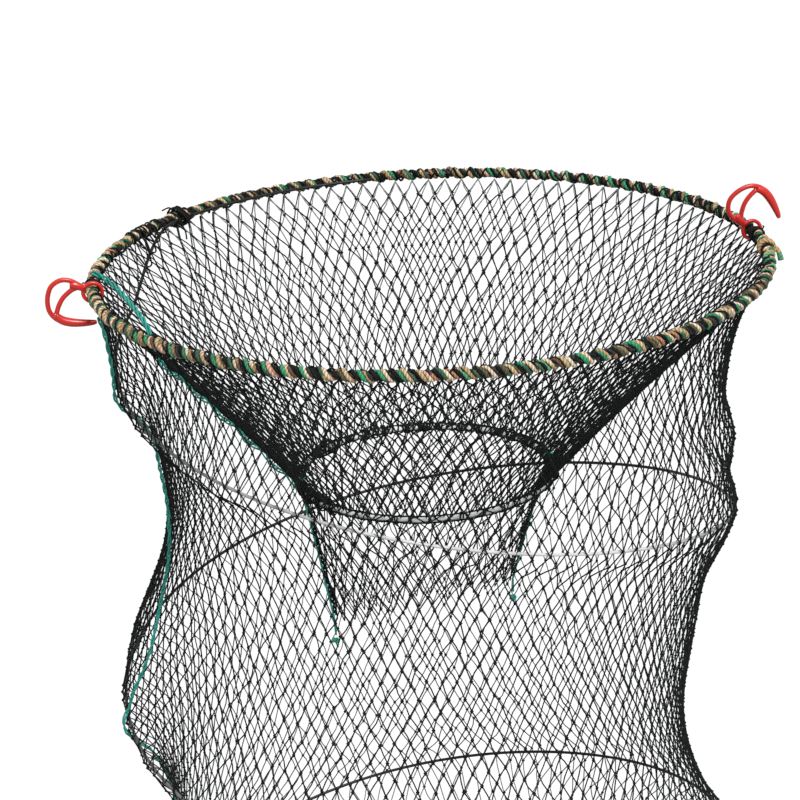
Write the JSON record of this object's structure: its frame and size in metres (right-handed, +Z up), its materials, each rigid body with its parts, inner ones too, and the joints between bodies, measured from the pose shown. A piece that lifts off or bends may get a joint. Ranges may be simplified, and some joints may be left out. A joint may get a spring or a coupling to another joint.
{
  "type": "folding fish trap",
  "caption": "Collapsible cylindrical fish trap: rope-wound wire hoops, a coil spring in diamond netting, inward net funnels with flat throats, and hooks on the rim",
  "frame": {"origin": "centre of the lower hoop's footprint, on the surface that the trap stands on", "axes": "+Z up along the trap's axis; the left hook points to bearing 233 degrees from +X"},
  "size_m": [0.4478, 0.4474, 0.9287],
  "materials": {
    "steel_wire": "plastic-coated wire, satin",
    "coil_wire": "coated spring wire, satin",
    "camouflage_rope": "twisted rope in tan, brown, green and black",
    "tan_rope": "twisted rope",
    "black_twine": "twisted twine",
    "green_netting": "knotted twine netting",
    "teal_cord": "thin cord",
    "red_plastic": "glossy moulded plastic"
  },
  "bodies": {
    "base": {"bottom_hoop": "steel_wire", "bottom_rim_rope": "camouflage_rope", "bottom_rope_knot": "tan_rope", "bottom_coil_binding": "black_twine", "bottom_funnel_net": "green_netting", "bottom_funnel_cord": "teal_cord", "coil_spring": "coil_wire", "outer_net": "green_netting", "side_seam_cord": "teal_cord"},
    "top_end": {"top_hoop": "steel_wire", "top_rim_rope": "camouflage_rope", "top_rope_knot": "tan_rope", "top_coil_binding": "black_twine", "top_funnel_net": "green_netting", "top_funnel_cord": "teal_cord", "left_hook_lashing": "black_twine", "right_hook_lashing": "black_twine"},
    "top_ring": {"top_entry_ring": "steel_wire", "top_ring_knot_left": "teal_cord", "top_ring_knot_right": "teal_cord", "top_throat_net": "green_netting", "top_throat_cord_left": "teal_cord", "top_throat_cord_right": "teal_cord"},
    "bottom_ring": {"bottom_entry_ring": "steel_wire", "bottom_ring_knot_left": "teal_cord", "bottom_ring_knot_right": "teal_cord", "bottom_throat_net": "green_netting", "bottom_throat_cord_left": "teal_cord", "bottom_throat_cord_right": "teal_cord"},
    "top_throat_tip": {"top_throat_knot_left": "teal_cord", "top_throat_knot_right": "teal_cord"},
    "bottom_throat_tip": {"bottom_throat_knot_left": "teal_cord", "bottom_throat_knot_right": "teal_cord"},
    "left_hook": {"left_hook": "red_plastic"},
    "right_hook": {"right_hook": "red_plastic"}
  },
  "joints": [
    {"name": "fold", "type": "slide", "parent": "base", "child": "top_end", "axis": [0, 0, 1], "range_m": [-0.85, 0], "stiffness_N_per_m": 30, "springref_m": 0.15, "deforming": ["coil_spring", "outer_net", "side_seam_cord"]},
    {"name": "top_ring_travel", "type": "slide", "parent": "top_end", "child": "top_ring", "axis": [0, 0, 1], "range_m": [0, 0.1374], "deforming": ["top_funnel_net", "top_funnel_cord"]},
    {"name": "bottom_ring_travel", "type": "slide", "parent": "base", "child": "bottom_ring", "axis": [0, 0, 1], "range_m": [-0.139, 0], "deforming": ["bottom_funnel_net", "bottom_funnel_cord"]},
    {"name": "top_tip_travel", "type": "slide", "parent": "top_ring", "child": "top_throat_tip", "axis": [0, 0, 1], "range_m": [0, 0.1002], "deforming": ["top_throat_net", "top_throat_cord_left", "top_throat_cord_right"]},
    {"name": "bottom_tip_travel", "type": "slide", "parent": "bottom_ring", "child": "bottom_throat_tip", "axis": [0, 0, 1], "range_m": [-0.1003, 0], "deforming": ["bottom_throat_net", "bottom_throat_cord_left", "bottom_throat_cord_right"]},
    {"name": "left_hook_turn", "type": "hinge", "parent": "top_end", "child": "left_hook", "pos_m": [-0.13228, -0.17554, 0.8954], "axis": [-0.7986, 0.6018, 0], "range_deg": [0, 165]},
    {"name": "right_hook_turn", "type": "hinge", "parent": "top_end", "child": "right_hook", "pos_m": [0.12295, 0.18228, 0.8954], "axis": [0.829, -0.5592, 0], "range_deg": [-111, 54]}
  ],
  "couplings": [
    {"joint": "top_ring_travel", "follows": "fold", "ratio": -0.16165},
    {"joint": "bottom_ring_travel", "follows": "fold", "ratio": 0.16353},
    {"joint": "top_tip_travel", "follows": "fold", "ratio": -0.11788},
    {"joint": "bottom_tip_travel", "follows": "fold", "ratio": 0.118}
  ]
}
